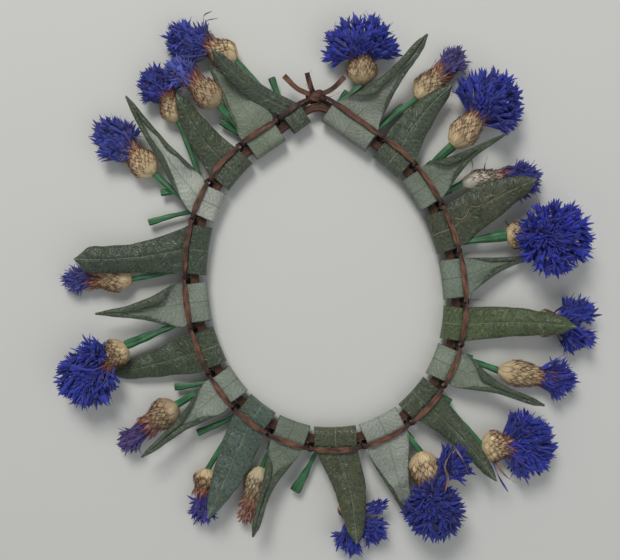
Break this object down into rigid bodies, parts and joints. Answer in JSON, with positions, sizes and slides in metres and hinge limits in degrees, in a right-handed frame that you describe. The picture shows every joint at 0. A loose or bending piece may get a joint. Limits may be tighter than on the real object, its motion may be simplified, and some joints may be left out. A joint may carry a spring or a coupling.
{
  "type": "flower crown",
  "caption": "Flat garland ring of leaves folded over a bark core and twined with bark strips, with cornflowers hooked between the leaves and a knot at the top.",
  "frame": {"origin": "middle of the ring's opening, on the plane that the crown rests on", "axes": "+Z away from the resting plane, towards the side that is looked at; +Y towards the knot; +X to the right seen from +Z"},
  "size_m": [0.2264, 0.2258, 0.0208],
  "materials": {
    "leaf_green": "satin, dark olive green, fine feathery veins, midrib groove",
    "leaf_pale": "matte, pale grey-green underside with a fine raised midrib",
    "stem": "satin, emerald green, ridged lengthwise",
    "core_bark": "matte, orange-brown fibrous strip",
    "binding_bark": "matte, reddish-brown fibrous strip",
    "petals": "matte, ultramarine dried florets",
    "flower_cup": "satin, straw-coloured papery scales with dark fringes"
  },
  "bodies": {
    "root": {"core_band": "core_bark", "binding_strip_a": "binding_bark", "binding_strip_b": "binding_bark", "knot": "binding_bark", "leaf_r01": "leaf_pale", "leaf_r02": "leaf_green", "leaf_r03": "leaf_pale", "leaf_r04": "leaf_green", "leaf_r05": "leaf_pale", "leaf_r06": "leaf_green", "leaf_r07": "leaf_pale", "leaf_r08": "leaf_green", "leaf_r09": "leaf_pale", "leaf_r10": "leaf_green", "leaf_l10": "leaf_pale", "leaf_l09": "leaf_green", "leaf_l08": "leaf_pale", "leaf_l07": "leaf_green", "leaf_l06": "leaf_pale", "leaf_l05": "leaf_green", "leaf_l04": "leaf_pale", "leaf_l03": "leaf_green", "leaf_l02": "leaf_pale", "leaf_l01": "leaf_green", "stem_01": "stem", "stem_02": "stem", "stem_03": "stem", "stem_04": "stem", "stem_05": "stem", "stem_07": "stem", "stem_08": "stem", "stem_09": "stem", "stem_11": "stem", "stem_12": "stem", "stem_13": "stem", "stem_14": "stem", "stem_15": "stem", "stem_16": "stem", "stem_17": "stem", "stem_18": "stem", "stem_19": "stem", "head_02": "petals", "head_04": "petals", "cornflower_06": "petals", "head_09": "petals", "cornflower_10": "petals", "head_11": "flower_cup", "head_12": "petals", "head_15": "petals", "head_17": "petals", "head_18": "petals", "head_19": "petals"},
    "flower_01": {"head_01": "petals"},
    "flower_03": {"head_03": "petals"},
    "flower_05": {"head_05": "petals"},
    "flower_07": {"head_07": "petals"},
    "flower_08": {"head_08": "petals"},
    "flower_13": {"head_13": "petals"},
    "flower_14": {"head_14": "petals"},
    "flower_16": {"head_16": "petals"}
  },
  "joints": [
    {"name": "nod_01", "type": "hinge", "parent": "root", "child": "flower_01", "pos_m": [0.01603, 0.07897, 0.0058], "axis": [0.9989, 0.0476, 0], "range_deg": [-2, 10], "stiffness_Nm_per_rad": 0.02},
    {"name": "nod_03", "type": "hinge", "parent": "root", "child": "flower_03", "pos_m": [0.05306, 0.05298, 0.008], "axis": [0.7622, -0.6473, 0], "range_deg": [-2, 10], "stiffness_Nm_per_rad": 0.02},
    {"name": "nod_05", "type": "hinge", "parent": "root", "child": "flower_05", "pos_m": [0.07557, 0.01614, 0.007], "axis": [-0.0217, -0.9998, 0], "range_deg": [-2, 10], "stiffness_Nm_per_rad": 0.02},
    {"name": "nod_07", "type": "hinge", "parent": "root", "child": "flower_07", "pos_m": [0.07284, -0.04031, 0.0055], "axis": [-0.1402, -0.9901, 0], "range_deg": [-2, 10], "stiffness_Nm_per_rad": 0.02},
    {"name": "nod_08", "type": "hinge", "parent": "root", "child": "flower_08", "pos_m": [0.06572, -0.07182, 0.006], "axis": [0.0432, -0.9991, 0], "range_deg": [-2, 10], "stiffness_Nm_per_rad": 0.02},
    {"name": "nod_13", "type": "hinge", "parent": "root", "child": "flower_13", "pos_m": [-0.06144, -0.05462, 0.0055], "axis": [-0.5864, 0.81, 0], "range_deg": [-2, 10], "stiffness_Nm_per_rad": 0.02},
    {"name": "nod_14", "type": "hinge", "parent": "root", "child": "flower_14", "pos_m": [-0.08229, -0.02951, 0.0075], "axis": [-0.6358, 0.7718, 0], "range_deg": [-2, 10], "stiffness_Nm_per_rad": 0.02},
    {"name": "nod_16", "type": "hinge", "parent": "root", "child": "flower_16", "pos_m": [-0.07102, 0.04184, 0.0056], "axis": [0.6986, 0.7155, 0], "range_deg": [-2, 10], "stiffness_Nm_per_rad": 0.02}
  ]
}
